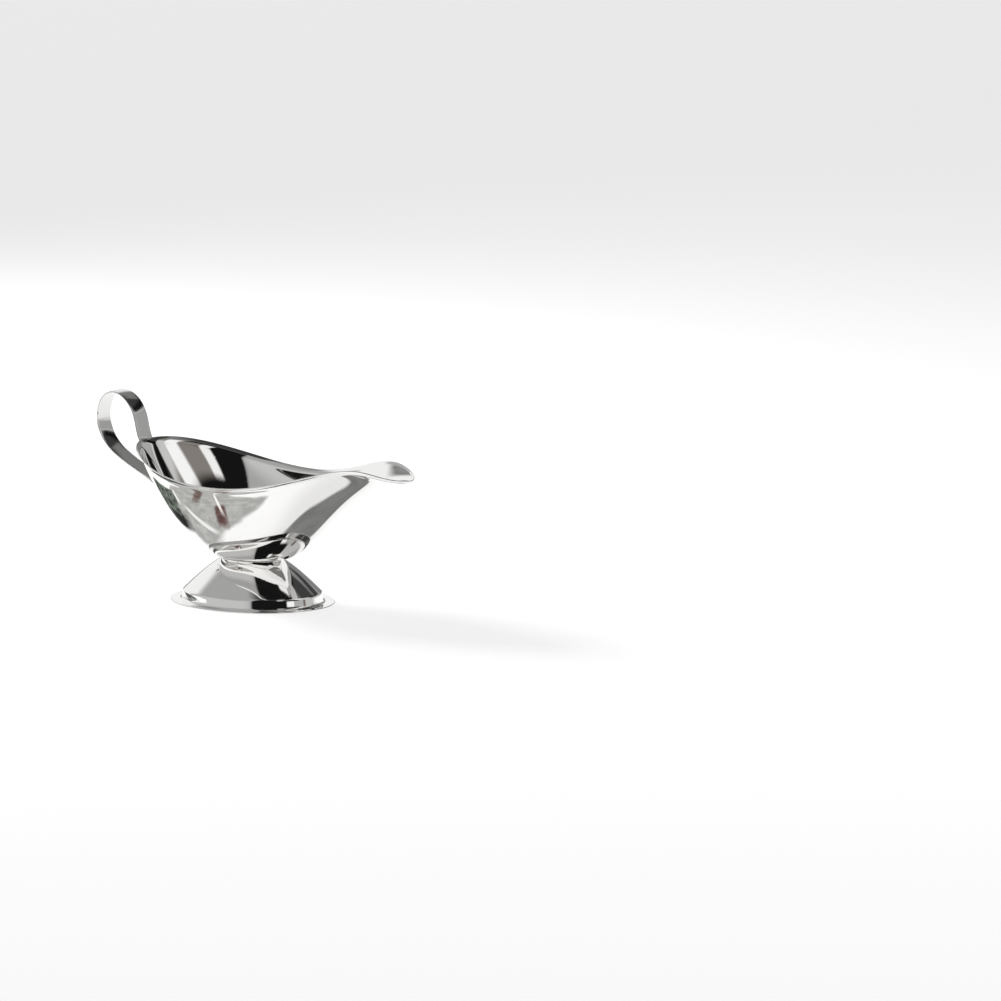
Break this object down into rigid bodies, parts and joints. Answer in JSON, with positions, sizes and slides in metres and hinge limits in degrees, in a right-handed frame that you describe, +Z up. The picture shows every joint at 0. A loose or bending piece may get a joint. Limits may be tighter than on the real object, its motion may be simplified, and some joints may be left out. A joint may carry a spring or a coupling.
{
  "type": "sauce boat",
  "caption": "Polished steel sauce boat: a thin oval bowl with a long pouring lip, a hollow oval foot and a looped strap handle.",
  "frame": {"origin": "centre of the foot's base, on the surface it stands on", "axes": "+Z up, +X towards the pouring lip, +Y to the boat's left"},
  "size_m": [0.2024, 0.089, 0.1076],
  "materials": {
    "polished_bowl": "mirror-polished stainless steel",
    "polished_foot": "mirror-polished stainless steel",
    "strap": "finely brushed and polished stainless steel strap",
    "weld": "dull spot weld metal"
  },
  "bodies": {
    "root": {"bowl": "polished_bowl", "foot": "polished_foot", "handle": "strap", "upper_handle_welds": "weld", "lower_handle_welds": "weld", "foot_welds": "weld"}
  },
  "joints": []
}
